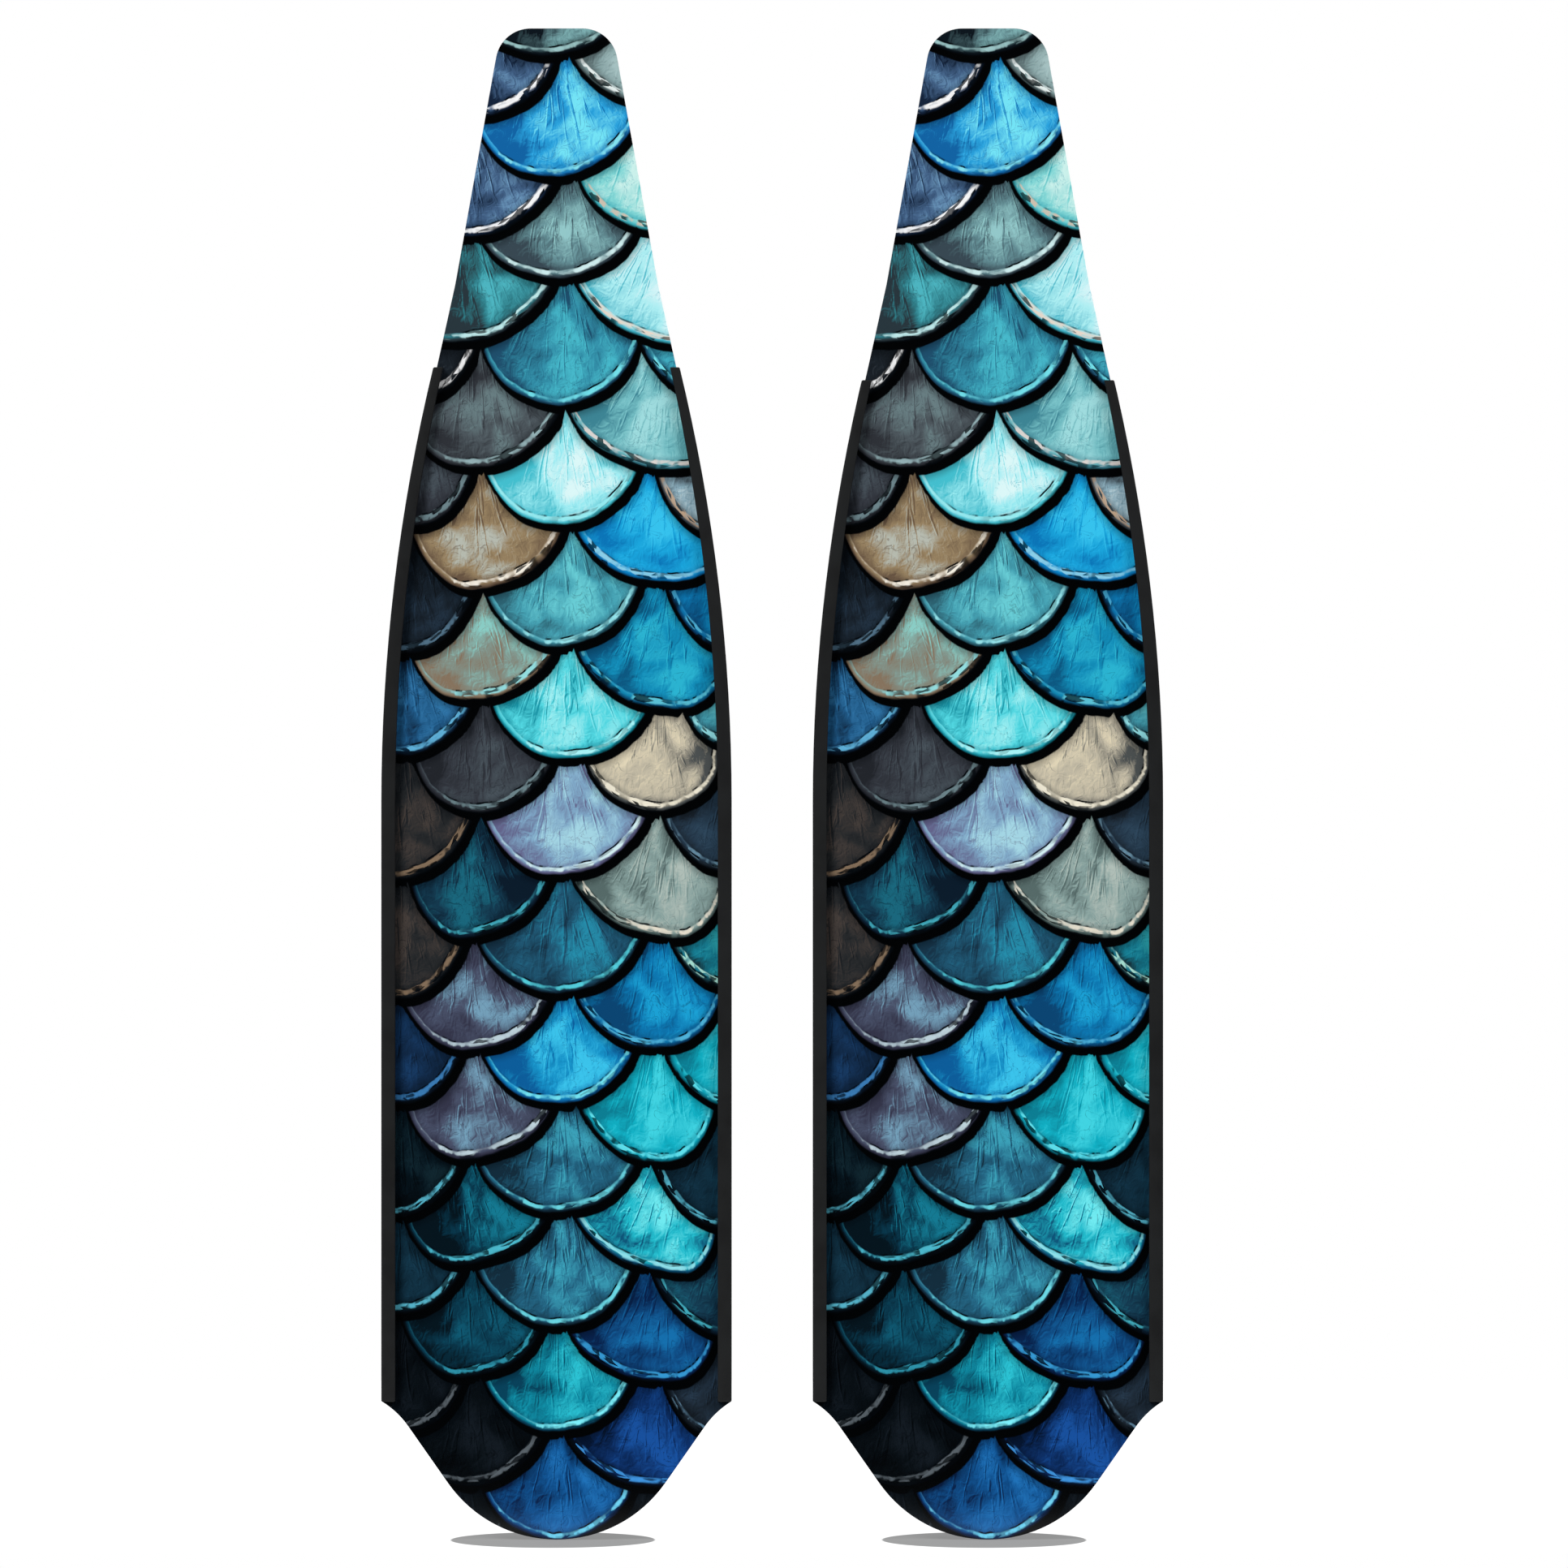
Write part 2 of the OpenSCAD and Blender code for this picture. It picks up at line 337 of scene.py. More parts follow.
def patch(index):
    """The part of a scale that shows, as a polar grid: points (x, z) by spoke and ring.

    Its middle is the mean of the points that lie deepest in it. Along each spoke the first change of sign of
    seen_of() gives the radius, and the rings get closer together towards it. None if too little shows.
    """
    # The grid is as large as the largest scale.
    x0, z0 = SCALES[index][:2]
    grid_x, grid_z = np.meshgrid(np.arange(-66, 67, LOOK_STEP) + x0, np.arange(-2, 90, LOOK_STEP) + z0)
    depth = seen_of(index, grid_x, grid_z)
    if depth.max() < LEAST_DEPTH:
        return None
    deep = depth > 0.75 * depth.max()
    nearest = np.hypot(grid_x - grid_x[deep].mean(), grid_z - grid_z[deep].mean()) + 1e3 * ~deep
    middle = np.unravel_index(nearest.argmin(), nearest.shape)
    middle_x, middle_z = grid_x[middle], grid_z[middle]
    angle = np.arange(SPOKES) * 2 * np.pi / SPOKES
    steps = np.arange(0, REACH + SPOKE_STEP, SPOKE_STEP)
    ray_x = middle_x + np.cos(angle)[:, None] * steps
    ray_z = middle_z + np.sin(angle)[:, None] * steps
    along = seen_of(index, ray_x, ray_z)
    first = np.argmax(along < 0, axis=1)
    rows = np.arange(SPOKES)
    inner, outer = along[rows, first - 1], along[rows, first]
    radius = steps[first - 1] + SPOKE_STEP * inner / (inner - outer)
    ring = 1 - (1 - np.arange(1, RINGS + 1) / RINGS) ** 1.7
    x = middle_x + np.cos(angle)[:, None] * radius[:, None] * ring
    z = middle_z + np.sin(angle)[:, None] * radius[:, None] * ring
    return middle_x, middle_z, x, z


def scale_fields(index, x, z, middle_x):
    """What the print's material needs to know at each point of a scale, as columns of one array.

    rim: distance to the scale's own edge. under: distance to the edges lying over it. band: how wide the
    black shadow of that edge is, widest below it. gleam: how far the own rim faces the lower right. chip:
    how far it faces the side where it is broken. bead: how wide the rim is. tone: how light the field is.
    """
    scale = SCALES[index]
    rim, out_x, out_z = into_scale(scale, x, z)
    gleam = smooth(0.57 * out_x - 0.82 * out_z, -0.35, 1.0)
    # A rim is broken below, towards the blade's centre line. The centre column's are broken less.
    inwards, most = (-np.sign(scale[0]), 1.0) if scale not in CENTRE_COLUMN else (1.0, 0.45)
    chip = most * smooth(0.6 * inwards * out_x - 0.8 * out_z, 0.55, 0.95)
    bead = 2.4 - 2.4 * out_z + 0.8 * np.maximum(0, out_x) + 1.2 * chip
    under = np.full(x.shape, REACH)
    band = np.full(x.shape, 3.0)
    for other in scales_over(index):
        distance, other_x, other_z = into_scale(other, x, z)
        width = 1.0 + 3.3 * np.maximum(0, 0.6 * other_x - 0.8 * other_z)
        nearer = -distance < under
        under = np.where(nearer, -distance, under)
        band = np.where(nearer, width, band)
    # The field is lightest 5 mm to the right of its middle, and darker at its left and under other scales.
    dx, dz = x - middle_x, z - scale[1]
    core = np.exp(-((dx - 5) ** 2 + (dz - 21) ** 2) / (2 * 17.0 ** 2))
    shade = 1 - smooth(under, 2, 20)
    lean = -0.014 if scale[-1] in LIT_LEFT else 0.0075
    tone = 0.4 + 0.28 * core - 0.16 * shade + lean * np.clip(dx, -40, 40)
    if scale[-1] in FOLDED:
        tone += 0.6 * smooth(dx + 0.1 * dz, -4, 3) - 0.4
    return np.stack([rim, under, band, gleam, chip, bead, tone], axis=-1)


def fan_coordinates(index, x, z):
    """Millimetres across and along the fine strokes, which fan out from a point above a scale's rim."""
    dx = x - SCALES[index][0]
    dz = SCALES[index][1] + FAN_ABOVE - z
    across = FAN_ARC * np.arctan2(dx, dz) + ACROSS_SHIFT * index
    along = np.hypot(dx, dz) + ALONG_SHIFT * index
    return np.stack([across, along, np.zeros_like(x)], axis=-1)


def round_coordinates(index, x, z):
    """Millimetres along a scale's rim, by the angle round its middle, and in from the rim."""
    scale = SCALES[index]
    reach, depth = reaches(scale, x)
    angle = np.arctan2((x - scale[0]) / reach, (scale[1] + depth - z) / depth)
    inward = into_scale(scale, x, z)[0]
    return np.stack([RIM_ARC * angle + ACROSS_SHIFT * index, inward, np.zeros_like(x)], axis=-1)


def print_arrays():
    """Points, faces and attribute columns of the print on a blade whose centre line is X = 0.

    Each scale is a closed tile: the polar grid in front, the same edge again behind it, and a wall between.
    """
    points, fields, fans, rounds, tints, faces = [], [], [], [], [], []
    start = 0
    for index, scale in enumerate(SCALES):
        found = patch(index)
        if found is None:
            continue
        middle_x, middle_z, x, z = found
        # Vertex order: front middle, the front rings spoke by spoke, the back edge, the back middle.
        tile_x = np.concatenate([[middle_x], x.ravel(), x[:, -1], [middle_x]])
        tile_z = np.concatenate([[middle_z], z.ravel(), z[:, -1], [middle_z]])
        tile_y = np.full(tile_x.shape, FILM_LOW)
        tile_y[-SPOKES - 1:] = FILM_LOW + FILM_SKIN
        points.append(np.stack([tile_x, tile_y, tile_z], axis=1))
        fields.append(scale_fields(index, tile_x, tile_z, middle_x))
        fans.append(fan_coordinates(index, tile_x, tile_z))
        rounds.append(round_coordinates(index, tile_x, tile_z))
        tints.append(np.tile([linear(colour) for colour in TINTS[scale[-1]]], (len(tile_x), 1, 1)))
        spoke = np.arange(SPOKES)
        after = (spoke + 1) % SPOKES
        front = start + 1 + spoke * RINGS
        front_after = start + 1 + after * RINGS
        back = start + 1 + SPOKES * RINGS + spoke
        back_after = start + 1 + SPOKES * RINGS + after
        last = start + len(tile_x) - 1
        faces += np.stack([np.full(SPOKES, start), front, front_after], axis=1).tolist()
        for ring in range(RINGS - 1):
            quad = [front + ring, front + ring + 1, front_after + ring + 1, front_after + ring]
            faces += np.stack(quad, axis=1).tolist()
        rim, rim_after = front + RINGS - 1, front_after + RINGS - 1
        faces += np.stack([rim, back, back_after, rim_after], axis=1).tolist()
        faces += np.stack([np.full(SPOKES, last), back_after, back], axis=1).tolist()
        start += len(tile_x)
    plate_points, plate_faces = backing_plate()
    faces += (np.array(plate_faces) + start).tolist()
    points.append(plate_points)
    # The plate counts as the outer edge of a rim all over, where the print is black.
    plate = {"rim": 0.0, "under": 0.0, "band": 3.0, "gleam": 0.0, "chip": 0.0, "bead": 3.0, "tone": 0.0}
    fields.append(np.tile([plate[name] for name in FIELDS], (len(plate_points), 1)))
    fans.append(plate_points)
    rounds.append(plate_points)
    tints.append(np.tile([linear(colour) for colour in TINTS["ink"]], (len(plate_points), 1, 1)))
    return [np.concatenate(part) for part in (points, fields, fans, rounds, tints)] + [faces]


def backing_plate():
    """A closed plate of the blade's outline behind the scales: a grid over the width and the height.

    Point (u, v) has height v and x = u * half_width(v), once in front and once behind, with walls all round.
    """
    heights = np.unique(np.concatenate([EDGE_Z, np.arange(PLATE_STEP, BLADE_TOP, PLATE_STEP)]))
    u, v = np.meshgrid(np.linspace(-1, 1, 9), heights)
    # The tip's lowest point gets a little width, so that no face there is a line.
    x = u * np.maximum(half_width(v), 0.05)
    layers = [np.stack([x, np.full_like(x, y), v], axis=-1) for y in (FILM_LOW + FILM_SKIN, FILM_HIGH)]
    points = np.concatenate([layer.reshape(-1, 3) for layer in layers])
    rows, cols = x.shape
    number = np.arange(rows * cols).reshape(rows, cols)
    count = rows * cols
    quads = np.stack([number[:-1, :-1], number[:-1, 1:], number[1:, 1:], number[1:, :-1]], axis=-1)
    quads = quads.reshape(-1, 4)
    around = np.concatenate([number[0], number[1:, -1], number[-1, -2::-1], number[-2:0:-1, 0]])
    following = np.roll(around, -1)
    walls = np.stack([around, around + count, following + count, following], axis=1)
    return points, quads.tolist() + (quads[:, ::-1] + count).tolist() + walls.tolist()


def grains(tree, source, across, along, detail, distortion, start, shift=0.0):
    """Noise whose grains are so many millimetres across and along, moved on by shift millimetres.

    Each pattern starts in another part of the noise, so that no two agree.
    """
    place = add(tree, "Mapping", {"Vector": source, "Scale": (1 / across, 1 / along, 1),
                                  "Location": (start + shift / across, start + shift / along, 0)})
    return add(tree, "TexNoise", {"Vector": place, "Scale": 1.0, "Detail": detail, "Roughness": 0.6,
                                  "Distortion": distortion}, noise_dimensions="2D")


def splinters(tree, source, across, along, turn):
    """A random grey for each cell of a cracked pattern whose cells are so many millimetres, and aslant."""
    place = add(tree, "Mapping", {"Vector": source, "Rotation": (0, 0, turn),
                                  "Scale": (1 / across, 1 / along, 1)})
    cells = add(tree, "TexVoronoi", {"Vector": place, "Scale": 1.0}, voronoi_dimensions="2D")
    return add(tree, "SeparateColor", {0: cells.outputs["Color"]})


def swing(tree, noise, amount, total):
    """The total plus a noise that swings about nought, times amount."""
    centred = add(tree, "Math", {0: noise, 1: 0.5}, operation="SUBTRACT")
    return add(tree, "Math", {0: centred, 1: amount, 2: total}, operation="MULTIPLY_ADD")


def s_curves(tree, *curves):
    """The product of S-curves, each of which is (measure, low, high) and goes from 0, at low, to 1, at high.

    Two more numbers say what a curve is at low and at high instead.
    """
    product = 1.0
    for measure, low, high, *ends in curves:
        at_low, at_high = ends or (0.0, 1.0)
        curve = add(tree, "MapRange", {0: measure, 1: low, 2: high, 3: at_low, 4: at_high},
                    interpolation_type="SMOOTHSTEP")
        product = add(tree, "Math", {0: product, 1: curve}, operation="MULTIPLY")
    return product


def paint(tree, under, colour, *curves, where=1.0):
    """Paints a colour over another, as strongly as the product of the S-curves and of "where" says."""
    amount = add(tree, "Math", {0: s_curves(tree, *curves), 1: where}, operation="MULTIPLY")
    return add(tree, "Mix", {0: amount, 6: under, 7: colour}, data_type="RGBA")


def painted_relief(tree, fan, fade, shift):
    """The painted relief's height: a few long wrinkles near the top, broad soft ripples lower down."""
    strokes = grains(tree, fan, 3.4, 26, 2, 0.6, 40, shift)
    ripples = grains(tree, fan, 4.5, 6.0, 3, 0.9, 150, shift)
    wrinkles = add(tree, "Math", {0: s_curves(tree, (strokes, 0.33, 0.45)), 1: fade}, operation="MULTIPLY")
    return swing(tree, ripples, 1.4, wrinkles)


def painted_field(tree, value, tint, fan):
    """The colour inside the rim: a measure of light chooses between the three colours of the tint.

    The light is the tone, with clouds, and the relief on top. The relief is lit from its upper left, as a
    painter would: by how much it falls away over half a millimetre.
    """
    clouds = grains(tree, fan, 20, 22, 1, 0.3, 0)
    hairs = grains(tree, fan, 1.1, 16, 2, 0.2, 90)
    wrinkles = grains(tree, fan, 7.5, 10, 3, 0.9, 180)
    fade = s_curves(tree, (value["rim"], 8, 30, 0.12, 1.0))
    height = painted_relief(tree, fan, fade, 0.0)
    falls = add(tree, "Math", {0: height, 1: painted_relief(tree, fan, fade, 0.5)}, operation="SUBTRACT")
    light = swing(tree, clouds, 1.7, value["tone"])
    light = add(tree, "Math", {0: light, 1: 0.08}, operation="SUBTRACT")
    for layer, strength in ((height, 0.2), (falls, 0.5), (swing(tree, hairs, 0.12, 0.0), fade)):
        light = add(tree, "Math", {0: layer, 1: strength, 2: light}, operation="MULTIPLY_ADD")
    to_body = add(tree, "MapRange", {0: light, 1: 0.0, 2: 0.5})
    to_lit = add(tree, "MapRange", {0: light, 1: 0.5, 2: 1.0})
    field = add(tree, "Mix", {0: to_body, 6: tint["shadow_tint"], 7: tint["body_tint"]}, data_type="RGBA")
    field = add(tree, "Mix", {0: to_lit, 6: field, 7: tint["lit_tint"]}, data_type="RGBA")
    crease = add(tree, "Math", {0: wrinkles, 1: 0.5}, operation="SUBTRACT")
    crease = add(tree, "Math", {0: crease}, operation="ABSOLUTE")
    return paint(tree, field, tint["shadow_tint"], (crease, 0.0, 0.018, 0.6, 0.0), (clouds, 0.42, 0.58))


def painted_rim(tree, value, tint, field, along_rim, breaks, splinter, chips):
    """The field with its raised rim round it, rounded like a bead, and a fine black groove between them.

    "across" is 0 at the rim's outer edge and 1 at its inner edge. It is dark outside, and its crest shines
    nearer the inner edge: a thin dim line at the left, and broad bright stretches at the lower right. Where
    it is broken, bright and black splinters run along it.
    """
    width = swing(tree, along_rim, 1.8, value["bead"])
    rim = swing(tree, chips, 0.2, value["rim"])
    inside = add(tree, "Math", {0: rim, 1: width}, operation="SUBTRACT")
    across = add(tree, "Math", {0: rim, 1: width}, operation="DIVIDE")
    field = paint(tree, field, tint["shadow_tint"], (inside, 0.0, 3.6, 0.45, 0.0))
    bead = paint(tree, linear("#010306"), tint["shadow_tint"], (across, 0.12, 0.46))
    bead = paint(tree, bead, tint["body_tint"], (across, 0.4, 0.75, 0.0, 0.85))
    bright = add(tree, "Math", {0: value["gleam"], 1: 0.25, 2: breaks}, operation="MULTIPLY_ADD")
    widened = s_curves(tree, (bright, 0.54, 0.84, 0.0, 0.36))
    crest = add(tree, "Math", {0: across, 1: widened}, operation="ADD")
    bead = paint(tree, bead, tint["rim_tint"], (crest, 0.74, 0.94), (across, 0.82, 1.04, 1.0, 0.0),
                 (bright, 0.54, 0.84, 0.2, 0.95))
    broken = s_curves(tree, (along_rim, 0.36, 0.5))
    broken = add(tree, "Math", {0: value["chip"], 1: broken}, operation="MULTIPLY")
    bead = paint(tree, bead, tint["rim_tint"], (splinter, 0.62, 0.66, 0.0, 0.9), (across, 0.36, 0.56),
                 where=broken)
    bead = paint(tree, bead, linear("#02060a"), (splinter, 0.36, 0.4, 0.85, 0.0), where=broken)
    colour = paint(tree, field, bead, (inside, -0.3, 0.3, 1.0, 0.0))
    colour = paint(tree, colour, linear("#01050a"), (inside, -0.5, -0.1), (inside, 0.3, 0.9, 1.0, 0.0),
                   (breaks, 0.44, 0.6), (value["gleam"], 0.2, 0.8, 0.1, 1.0))
    return paint(tree, colour, linear("#000102"), (value["rim"], 0.1, 0.7, 1.0, 0.0))


def print_material():
    """Pigment printed on a glass sheet and flooded with clear epoxy: painted scales under a hard gloss.

    Each scale has a bright uneven rim, a fine black groove inside it, brush strokes that fan out over its
    field, and the black shadow of the scales that lie over it. All of it is ink: the surface itself is flat.
    """
    material, tree = new_material("printed_epoxy_fish_scales")
    value = {name: add(tree, "Attribute", attribute_name=name).outputs["Fac"] for name in FIELDS}
    tint = {name: add(tree, "Attribute", attribute_name=name).outputs["Color"] for name in TINT_PARTS}
    fan = add(tree, "Attribute", attribute_name="fan").outputs["Vector"]
    bent = add(tree, "Attribute", attribute_name="round").outputs["Vector"]
    along_rim = grains(tree, bent, 12, 60, 2, 0.0, 210)
    breaks = grains(tree, bent, 13, 60, 3, 0.0, 240)
    splinter = splinters(tree, bent, 6.0, 1.3, 0.45)
    chips = grains(tree, fan, 2.4, 3.0, 3, 0.6, 300)
    field = painted_field(tree, value, tint, fan)
    colour = painted_rim(tree, value, tint, field, along_rim, breaks, splinter, chips)

    # The shadow of the scales above: black at first, with a crisp edge, then a soft darkening.
    below = swing(tree, along_rim, 1.2, value["under"])
    below = add(tree, "Math", {0: below, 1: value["band"]}, operation="SUBTRACT")
    colour = paint(tree, colour, linear("#01050a"), (below, -0.2, 5.0, 0.42, 0.0))
    colour = paint(tree, colour, linear("#000102"), (below, -0.4, 0.4, 1.0, 0.0))

    # Cured epoxy is never quite flat: soft waves some 20 mm long, a few hundredths of a millimetre high.
    place = add(tree, "TexCoord").outputs["Object"]
    waves = add(tree, "TexNoise", {"Vector": place, "Scale": 50.0, "Detail": 2.0})
    bump = add(tree, "Bump", {"Height": waves, "Distance": 0.00004, "Strength": 0.6})
    put_surface(tree, {"Base Color": colour, "Roughness": 0.2, "IOR": 1.5, "Specular IOR Level": 0.4,
                       "Normal": bump})
    return material


# ---------------------------------------------------------------- black glass laminate

TOW = 0.0025    # metres across one bundle of glass fibres in the cloth


def laminate_material():
    """Twill-woven glass cloth in black-pigmented epoxy: deep black, and the weave glints under the resin."""
    material, tree = new_material("black_glass_twill_laminate")
    place = add(tree, "TexCoord").outputs["Object"]
    part = add(tree, "SeparateXYZ", {0: place})

    # A 2/2 twill: over two and under two, one tow further on in each row. A tow is highest in its middle.
    across, number = {}, {}
    for axis in ("X", "Z"):
        tows = add(tree, "Math", {0: part.outputs[axis], 1: TOW}, operation="DIVIDE")
        number[axis] = add(tree, "Math", {0: tows}, operation="FLOOR")
        fraction = add(tree, "Math", {0: tows}, operation="FRACT")
        across[axis] = add(tree, "Math", {0: fraction, 1: 0.5}, operation="SUBTRACT")
    turn = add(tree, "Math", {0: number["X"], 1: number["Z"]}, operation="ADD")
    turn = add(tree, "Math", {0: turn, 1: 4.0}, operation="FLOORED_MODULO")
    upright = add(tree, "Math", {0: turn, 1: 1.5}, operation="LESS_THAN")
    crown = add(tree, "Mix", {0: upright, 2: across["Z"], 3: across["X"]}, data_type="FLOAT")
    crown = add(tree, "Math", {0: crown, 1: crown}, operation="MULTIPLY")
    crown = add(tree, "Math", {0: 0.25, 1: crown}, operation="SUBTRACT")

    fibres = add(tree, "TexNoise", {"Vector": place, "Scale": 900.0, "Detail": 3.0})
    shade = add(tree, "Mix", {0: upright, 6: linear("#0a0c0e"), 7: linear("#171b1f")}, data_type="RGBA")
    lighter = add(tree, "Math", {0: fibres, 1: 1.6}, operation="MULTIPLY")
    lighter = add(tree, "Math", {0: crown, 1: lighter}, operation="MULTIPLY")
    colour = add(tree, "Mix", {0: lighter, 6: shade, 7: linear("#3a4148")}, data_type="RGBA")
    bump = add(tree, "Bump", {"Height": crown, "Distance": 0.00008, "Strength": 0.5})

    # The cut edges are sanded: matt, and without the coat of resin that the two faces have.
    facing = add(tree, "SeparateXYZ", {0: add(tree, "NewGeometry").outputs["True Normal"]})
    face = add(tree, "Math", {0: facing.outputs["Y"]}, operation="ABSOLUTE")
    face = add(tree, "Math", {0: face, 1: 0.5}, operation="GREATER_THAN")
    rough = add(tree, "MapRange", {0: face, 1: 0.0, 2: 1.0, 3: 0.9, 4: 0.42})
    coat = add(tree, "Math", {0: face, 1: 0.2}, operation="MULTIPLY")
    put_surface(tree, {"Base Color": colour, "Roughness": rough, "IOR": 1.52, "Specular IOR Level": 0.3,
                       "Coat Weight": coat, "Coat Roughness": 0.15, "Normal": bump})
    return material


# ---------------------------------------------------------------- rubber rails

WEB_ROUND = 1.1     # radius of a rail's two outer long edges
LIP_ROUND = 0.35    # radius of its two inner long edges
END_BEVEL = 0.5     # bevel round its cut ends
ROUND_POINTS = 6    # points on each rounded edge


def rubber_material():
    """Extruded black rubber: matt, with the die's faint lines along it and a dusty bloom here and there."""
    material, tree = new_material("extruded_black_rubber")
    place = add(tree, "TexCoord").outputs["Object"]
    stretched = add(tree, "Mapping", {"Vector": place, "Scale": (2200.0, 2200.0, 12.0)})
    lines = add(tree, "TexNoise", {"Vector": stretched, "Scale": 1.0, "Detail": 3.0})
    bump = add(tree, "Bump", {"Height": lines, "Distance": 0.00003, "Strength": 0.5})
    bloom = add(tree, "TexNoise", {"Vector": place, "Scale": 60.0, "Detail": 4.0})
    dusty = add(tree, "MapRange", {0: bloom, 1: 0.35, 2: 0.7})
    colour = add(tree, "Mix", {0: dusty, 6: linear("#0c0d0e"), 7: linear("#121415")}, data_type="RGBA")
    rough = add(tree, "MapRange", {0: bloom, 1: 0.3, 2: 0.7, 3: 0.55, 4: 0.72})
    put_surface(tree, {"Base Color": colour, "Roughness": rough, "IOR": 1.5, "Specular IOR Level": 0.22,
                       "Normal": bump})
    return material


def rail_section(half_depth, slot_front, slot_back):
    """The outline of a rail on the +X side: a channel with rounded edges, open towards the blade.

    Each point is a place from its guide line, a Y, and the outward direction there. The guides are 0, the
    inner side, 1, the bottom of the slot, and 2, the outer side. Each rounded edge is a quarter circle.
    """
    quarter = np.linspace(0, np.pi / 2, ROUND_POINTS)
    corners = [
        (2, -WEB_ROUND, -half_depth + WEB_ROUND, -1, WEB_ROUND),
        (2, -WEB_ROUND, half_depth - WEB_ROUND, 0, WEB_ROUND),
        (0, LIP_ROUND, half_depth - LIP_ROUND, 1, LIP_ROUND),
        (0, LIP_ROUND, -half_depth + LIP_ROUND, 2, LIP_ROUND),
    ]
    rounds = []
    for guide, x, y, turn, radius in corners:
        angle = quarter + turn * np.pi / 2
        cos, sin = np.cos(angle), np.sin(angle)
        guides = np.full(ROUND_POINTS, guide)
        rounds.append(np.stack([guides, x + radius * cos, y + radius * sin, cos, sin], axis=1))
    slot_corners = ((0, slot_back), (1, slot_back), (1, slot_front), (0, slot_front))
    slot = np.array([[guide, 0, y, 0, 0] for guide, y in slot_corners])
    return np.concatenate(rounds[:3] + [slot] + rounds[3:])


def rail_arrays(node, side, outward):
    """Points and faces of a rail: the channel section carried up between the CAD rail's own two sides.

    The CAD rail's front face has one line of vertices on each side of the blade's edge; they are the guides
    for the section, and the slot's bottom lies on the blade's edge. Both ends are bevelled and capped.
    """
    cad = cad_points(node)
    half_depth = cad[:, 1].max()
    front = cad[cad[:, 1] < -half_depth + 0.01]
    height, reach = front[:, 2], np.abs(front[:, 0] - fin_centre(side))
    order = np.argsort(height)
    height, reach = height[order], reach[order]
    outside = reach > half_width(height + 0.01)
    bottom, top = height[0], height[-1]
    z = np.unique(np.concatenate([height, [bottom + END_BEVEL, top - END_BEVEL]]).round(3))
    inner = np.interp(z, height[~outside], reach[~outside])
    outer = np.interp(z, height[outside], reach[outside])
    guides = np.stack([inner, half_width(np.maximum(z, EAR_Z + 0.01)), outer])
    section = rail_section(half_depth, FILM_LOW, -FILM_LOW)
    inset = np.where((z == z[0]) | (z == z[-1]), END_BEVEL, 0)[:, None]
    x = guides[section[:, 0].astype(int)].T + section[:, 1] - inset * section[:, 3]
    y = section[:, 2] - inset * section[:, 4]
    points = np.stack([x * outward + fin_centre(side), y, np.broadcast_to(z[:, None], x.shape)], axis=-1)
    rows, cols = x.shape
    number = np.arange(rows * cols).reshape(rows, cols)
    after = np.roll(number, -1, axis=1)
    quads = np.stack([number[:-1], after[:-1], after[1:], number[1:]], axis=-1).reshape(-1, 4)
    faces = quads.tolist() + [number[0, ::-1].tolist(), number[-1].tolist()]
    if outward < 0:
        faces = [face[::-1] for face in faces]
    return points.reshape(-1, 3), faces


# ---------------------------------------------------------------- studio

# In metres, as everything in the studio is.
CAMERA_AWAY = 6.0
CAMERA_X, CAMERA_Z = 0.0064, 0.410
VIEW_WIDTH = 0.8509         # what the camera sees from side to side, at the blades
SHADOW_RADIUS = 0.0555
SHADOW_EDGE = 0.001         # half the width of the shadow's soft edge
SHADOW_ASIDE = 0.002        # how far the shadows lie to the left of the tips
SHADOW_SQUASH = 0.88        # a shadow's width divided by its depth


def room_light():
    """The room: white to the camera, and as a light dark at eye level and bright overhead.

    The dark keeps the gloss of the blades black where it would mirror the walls.
    """
    world = bpy.data.worlds.new("studio")
    world.use_nodes = True
    tree = world.node_tree
    tree.nodes.clear()
    direction = add(tree, "TexCoord").outputs["Generated"]
    up = add(tree, "SeparateXYZ", {0: direction}).outputs["Z"]
    overhead = s_curves(tree, (up, 0.15, 0.75))
    room = add(tree, "Mix", {0: overhead, 6: linear("#080909"), 7: linear("#b8bcc0")}, data_type="RGBA")
    seen = add(tree, "LightPath").outputs["Is Camera Ray"]
    shown = add(tree, "Mix", {0: seen, 6: room, 7: linear("#ffffff")}, data_type="RGBA")
    glow = add(tree, "Background", {"Color": shown, "Strength": 1.0})
    add(tree, "OutputWorld", {"Surface": glow})
    return world


def floor_material():
    """White studio paper, lit from below so that it stays white, with a round grey shadow under each tip."""
    material, tree = new_material("white_studio_paper")
    part = add(tree, "SeparateXYZ", {0: add(tree, "TexCoord").outputs["Object"]})
    # The fins stand to both sides of X = 0, so X is folded there and one disc serves for both.
    aside = add(tree, "Math", {0: part.outputs["X"], 1: SHADOW_ASIDE}, operation="ADD")
    aside = add(tree, "Math", {0: aside}, operation="ABSOLUTE")
    aside = add(tree, "Math", {0: aside, 1: fin_centre("right") * MM}, operation="SUBTRACT")
    ahead = add(tree, "Math", {0: part.outputs["Y"], 1: SHADOW_SQUASH}, operation="MULTIPLY")
    flat = add(tree, "CombineXYZ", {0: aside, 1: ahead})
    away = add(tree, "VectorMath", {0: flat}, operation="LENGTH").outputs["Value"]
    edge = (away, SHADOW_RADIUS - SHADOW_EDGE, SHADOW_RADIUS + SHADOW_EDGE)
    paper = s_curves(tree, (*edge, 0.1, 0.15))
    glow = s_curves(tree, (*edge, 0.25, 1.0))
    put_surface(tree, {"Base Color": paper, "Roughness": 0.9, "Specular IOR Level": 0.0,
                       "Emission Color": linear("#ffffff"), "Emission Strength": glow})
    return material


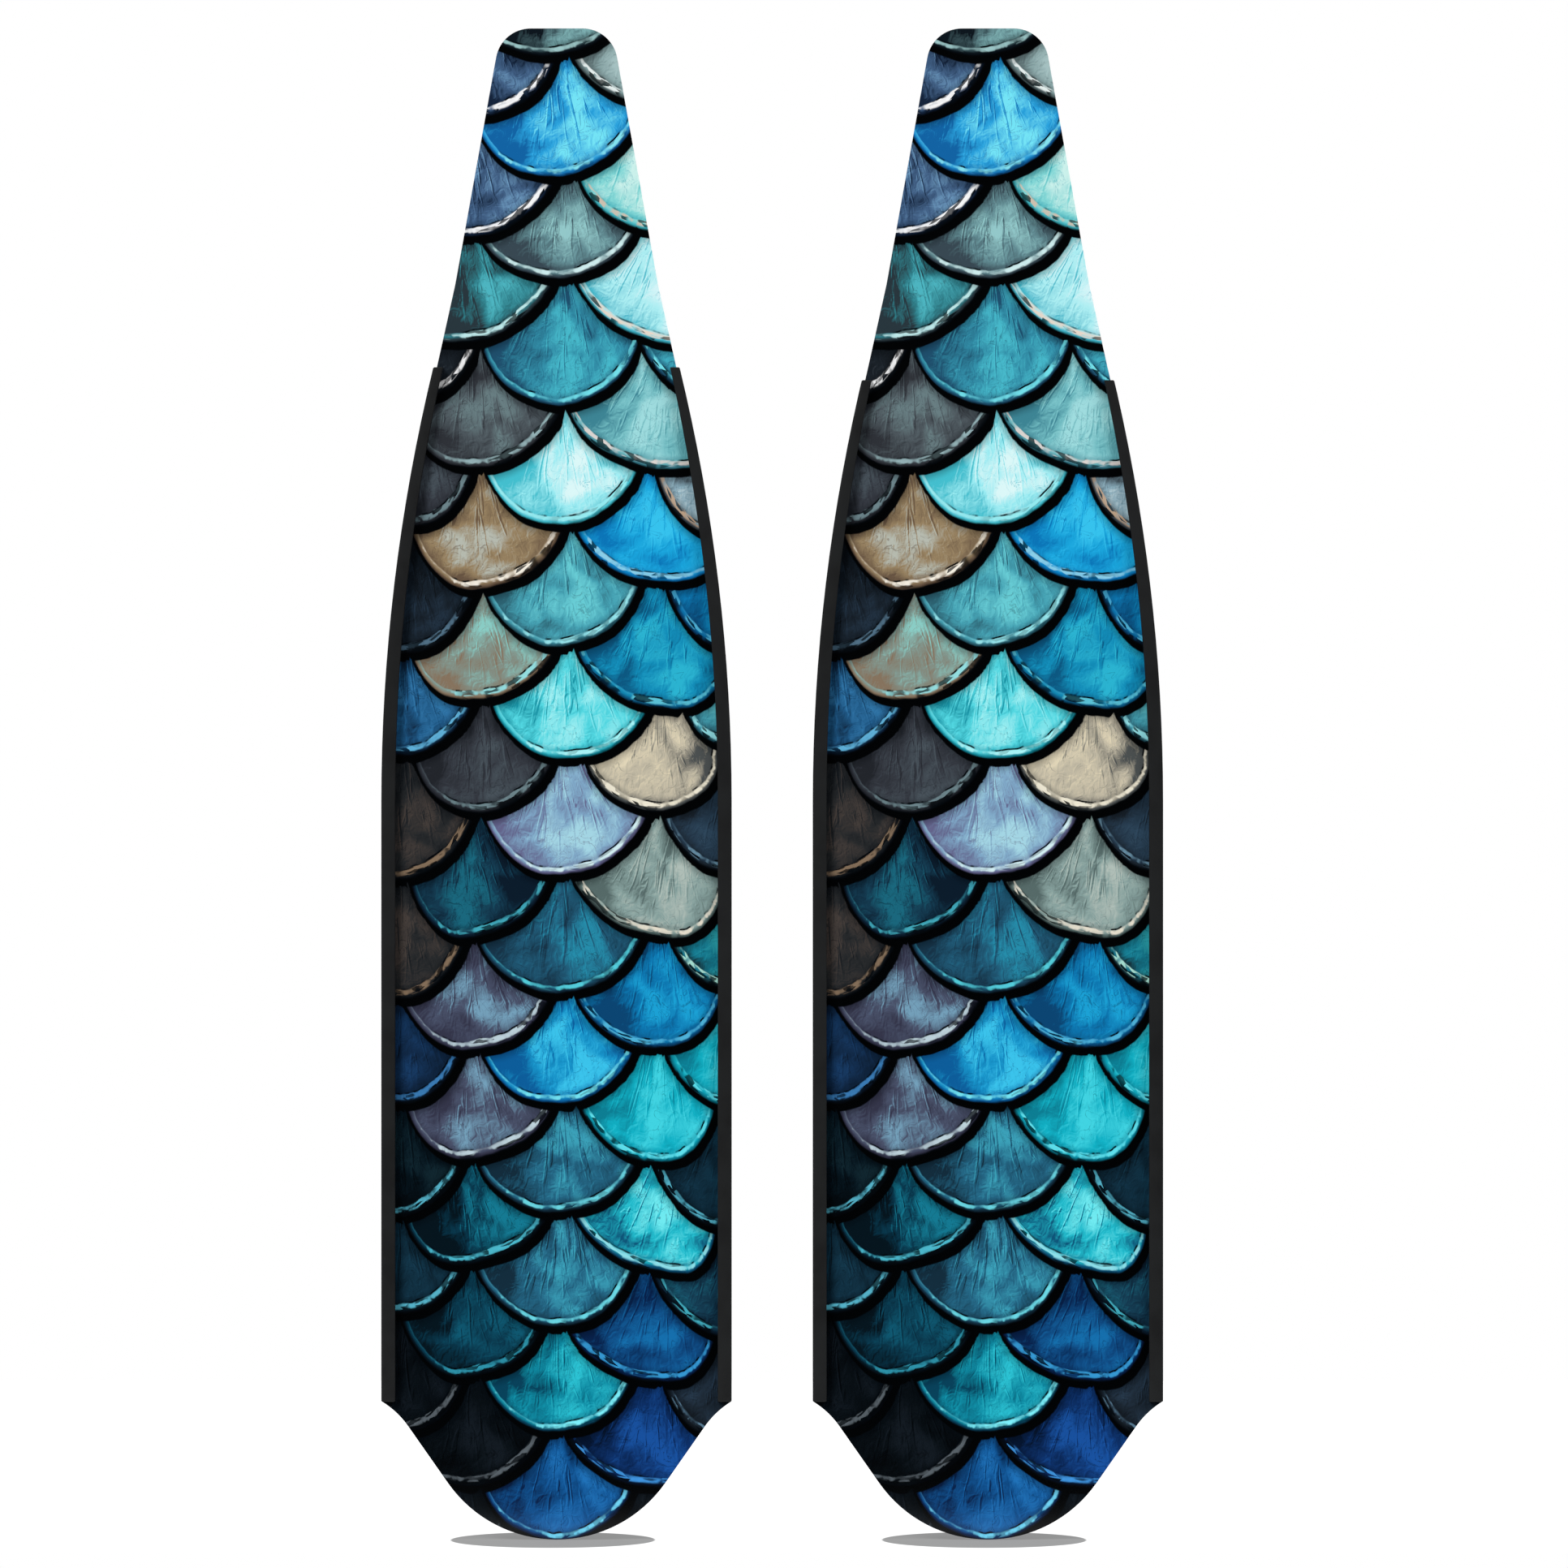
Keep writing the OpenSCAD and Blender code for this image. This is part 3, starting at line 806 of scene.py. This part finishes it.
def set_studio():
    """White seamless floor and background, soft daylight from the upper left, camera level and far away."""
    scene = bpy.context.scene
    scene.view_settings.view_transform = "Standard"
    scene.world = room_light()

    floor_mesh = bpy.data.meshes.new("floor")
    corners = [(-1.5, -0.1, 0), (1.5, -0.1, 0), (1.5, 1.6, 0), (-1.5, 1.6, 0)]
    floor_mesh.from_pydata(corners, [], [(0, 1, 2, 3)])
    floor_mesh.materials.append(floor_material())
    floor = bpy.data.objects.new("floor", floor_mesh)
    floor.location.z = -0.0002
    scene.collection.objects.link(floor)

    # Each lamp's name, the degrees it is turned to the right of the camera and lifted, its strength, and
    # how many degrees of the sky it fills.
    for name, turn, lift, strength, angle in (("key", -38, 38, 2.9, 25), ("fill", 48, 30, 1.45, 40)):
        lamp = bpy.data.lights.new(name, "SUN")
        lamp.energy = strength
        lamp.angle = math.radians(angle)
        sun = bpy.data.objects.new(name, lamp)
        sun.rotation_euler = (math.radians(90 - lift), 0, math.radians(turn))
        scene.collection.objects.link(sun)

    lens = bpy.data.cameras.new("camera")
    lens.sensor_width = 36.0
    lens.lens = lens.sensor_width * CAMERA_AWAY / VIEW_WIDTH
    lens.clip_end = 100.0
    camera = bpy.data.objects.new("camera", lens)
    camera.location = (CAMERA_X, -CAMERA_AWAY, CAMERA_Z)
    camera.rotation_euler = (math.pi / 2, 0, 0)
    scene.collection.objects.link(camera)
    scene.camera = camera


# ---------------------------------------------------------------- the fins

printed = print_material()
laminate = laminate_material()
rubber = rubber_material()

print_points, print_fields, print_fans, print_rounds, print_tints, print_faces = print_arrays()
for body, side in FINS.items():
    moved = print_points + [fin_centre(side), 0, 0]
    sheet = put_mesh(f"{side}_scale_print", moved, print_faces, printed, body,
                     f"{side}_print_film")
    for column, name in enumerate(FIELDS):
        put_attribute(sheet, name, "FLOAT", print_fields[:, column])
    put_attribute(sheet, "fan", "FLOAT_VECTOR", print_fans)
    put_attribute(sheet, "round", "FLOAT_VECTOR", print_rounds)
    for column, name in enumerate(TINT_PARTS):
        put_attribute(sheet, name, "FLOAT_COLOR", print_tints[:, column])

    for place, outward in (("outer", -1), ("inner", 1)):
        outward = outward if side == "left" else -outward
        node = f"{side}_{place}_rail"
        rail_points, rail_faces = rail_arrays(node, side, outward)
        rail = put_mesh(f"{node}_rubber", rail_points, rail_faces, rubber, body, node)
        rail.data.set_sharp_from_angle(angle=math.radians(30))
        rail.data.polygons.foreach_set("use_smooth", [True] * len(rail.data.polygons))

for name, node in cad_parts.items():
    if "ply" in name or "doubler" in name:
        node.data.materials.clear()
        node.data.materials.append(laminate)

set_studio()
